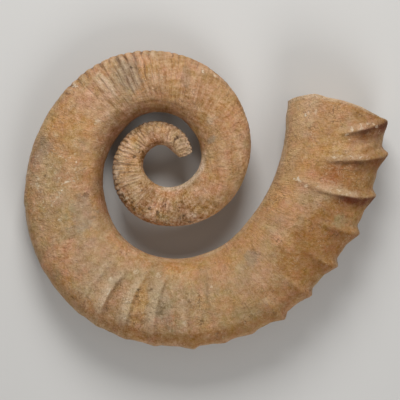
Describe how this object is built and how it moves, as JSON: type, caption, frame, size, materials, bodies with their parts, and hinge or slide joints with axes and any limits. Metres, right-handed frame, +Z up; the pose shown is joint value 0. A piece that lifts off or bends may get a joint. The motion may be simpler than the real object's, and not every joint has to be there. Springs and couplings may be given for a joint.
{
  "type": "open-coiled fossil ammonite",
  "caption": "Fossil ammonite of tan stone with whorls that stand apart, fine ribs on the early coil and strong flared ribs towards the broken mouth, lying on its side.",
  "frame": {"origin": "middle of the outline seen from above, at the level of the worn underside that it rests on", "axes": "+Z up, away from the surface that it lies on; +X along the longest side of the outline, from the far whorl towards the mouth's outer edge; +Y in the plane of the coil, towards the mouth's opening end"},
  "size_m": [0.4298, 0.3516, 0.0961],
  "materials": {
    "fossil_stone": "matte, grainy, mottled tan and ochre stone with worn ribs"
  },
  "bodies": {
    "root": {"ammonite": "fossil_stone"}
  },
  "joints": []
}
